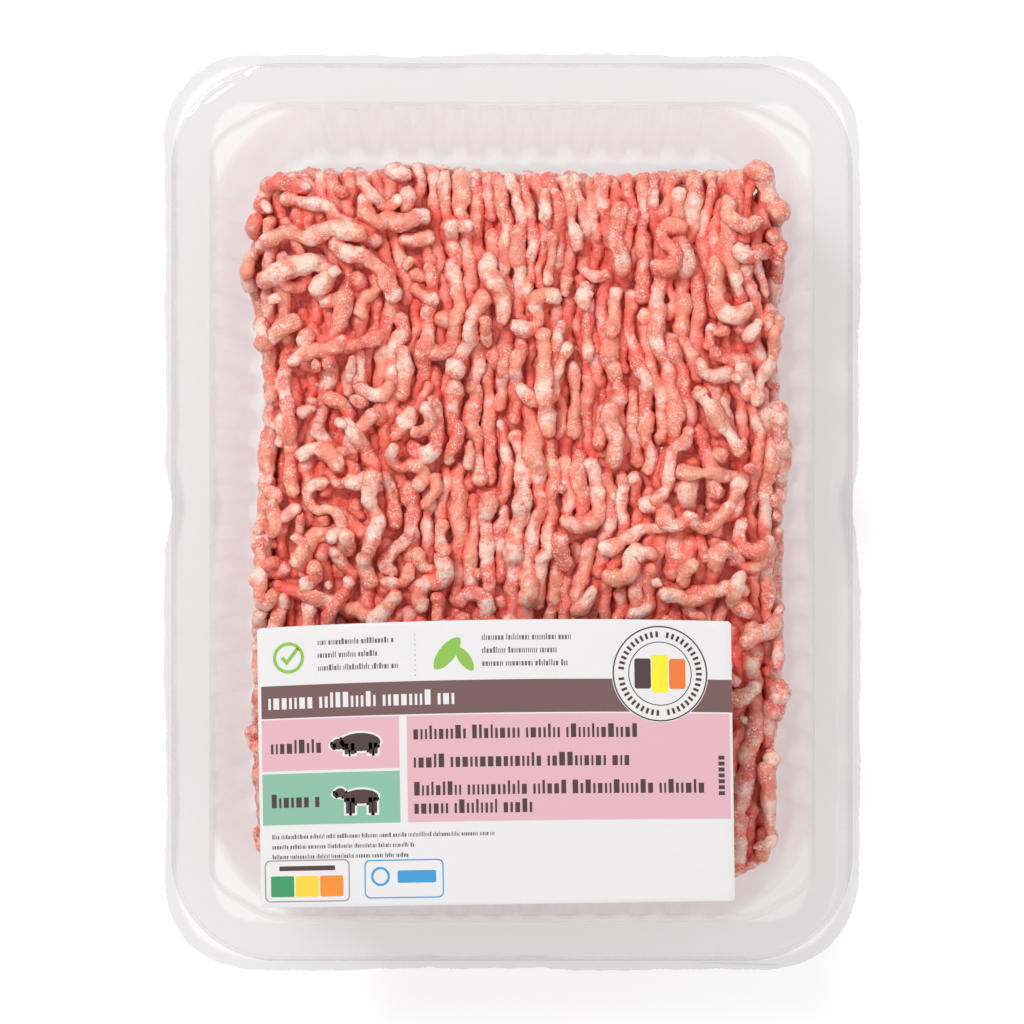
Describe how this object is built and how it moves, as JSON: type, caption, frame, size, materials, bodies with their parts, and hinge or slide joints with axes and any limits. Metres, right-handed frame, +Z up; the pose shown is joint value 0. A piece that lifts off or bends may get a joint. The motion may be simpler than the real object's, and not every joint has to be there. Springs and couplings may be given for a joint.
{
  "type": "meat tray pack",
  "caption": "Clear tray with fluted walls, filled with strands of minced meat and shut by a clear film lid that carries a printed label.",
  "frame": {"origin": "middle of the pack's footprint, at the underside of the tray's floor", "axes": "+Z up through the film lid, +Y along the pack's length, away from a reader of the label, +X to that reader's right"},
  "size_m": [0.148, 0.1946, 0.0455],
  "materials": {
    "tray_plastic": "clear and glossy",
    "minced_meat": "moist raw mince",
    "lid_film": "clear thin film, glossy",
    "label_paper": "smooth printed paper, satin"
  },
  "bodies": {
    "root": {"tray": "tray_plastic", "mince": "minced_meat", "lid_film": "lid_film", "label": "label_paper"}
  },
  "joints": []
}
